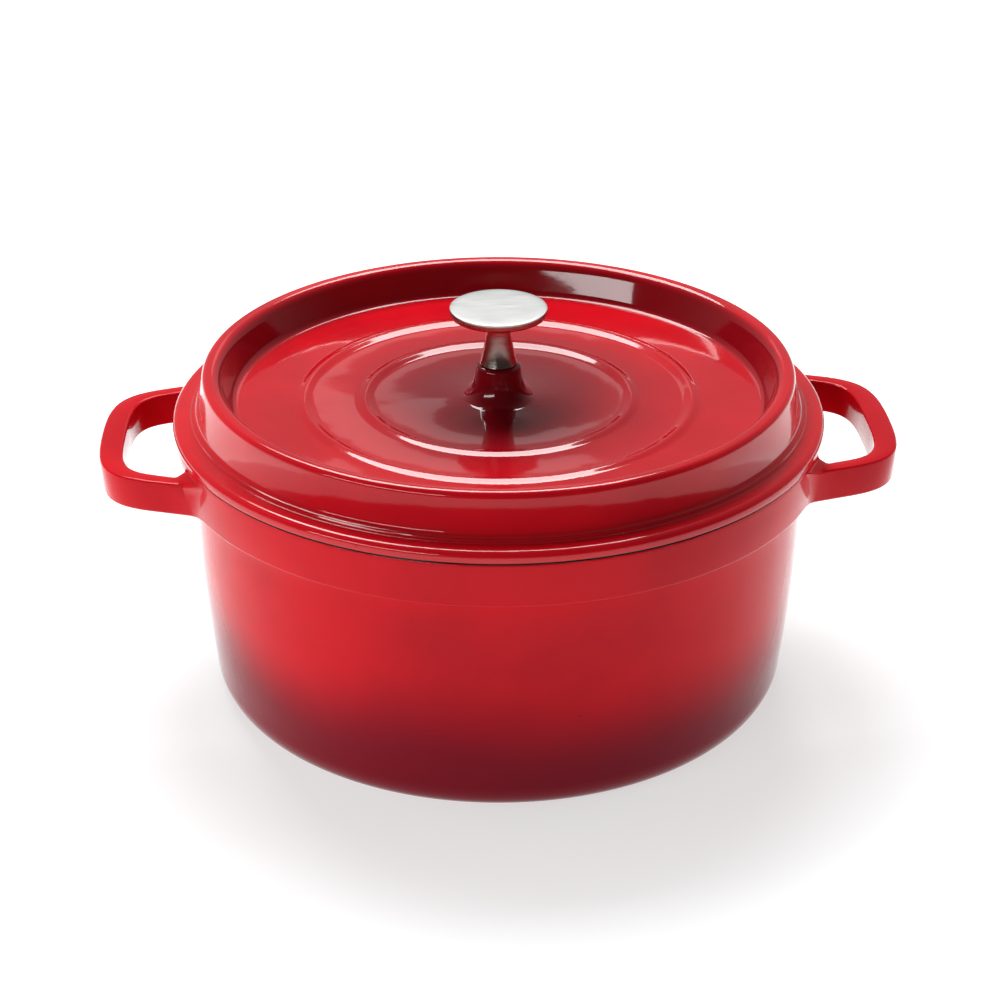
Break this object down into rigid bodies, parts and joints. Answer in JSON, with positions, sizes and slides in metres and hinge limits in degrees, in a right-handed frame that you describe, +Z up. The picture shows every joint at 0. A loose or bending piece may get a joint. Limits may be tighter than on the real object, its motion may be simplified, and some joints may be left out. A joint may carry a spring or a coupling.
{
  "type": "dutch oven",
  "caption": "Round enamelled cast iron dutch oven with loop handles and a lift-off lid that has a raised rim, stepped rings and a flat-topped steel knob.",
  "frame": {"origin": "on the surface it stands on, under the pot's centre", "axes": "+Z up along the pot's axis, +X through the right handle, -Y to the front"},
  "size_m": [0.3308, 0.27, 0.1647],
  "materials": {
    "enamelled_iron": "gloss red vitreous enamel outside, darkening towards the base",
    "brushed_steel": "fine brushed",
    "polished_steel": "polished",
    "fixing_steel": "plain bright",
    "gasket_fibre": "matte heat-proof fibre"
  },
  "bodies": {
    "pot": {"pot_body": "enamelled_iron", "handle_right": "enamelled_iron", "handle_left": "enamelled_iron"},
    "knob": {"knob_head": "brushed_steel", "knob_stem": "polished_steel", "knob_gasket": "gasket_fibre", "knob_screw": "fixing_steel", "flat_washer": "fixing_steel", "spring_washer": "fixing_steel"},
    "lid": {"lid": "enamelled_iron"}
  },
  "joints": [
    {"name": "lid_lift", "type": "slide", "parent": "pot", "child": "knob", "axis": [0, 0, 1], "range_m": [0, 0.15]},
    {"name": "lid_turn", "type": "hinge", "parent": "knob", "child": "lid", "pos_m": [0, 0, 0.13], "axis": [0, 0, 1], "continuous": true}
  ]
}
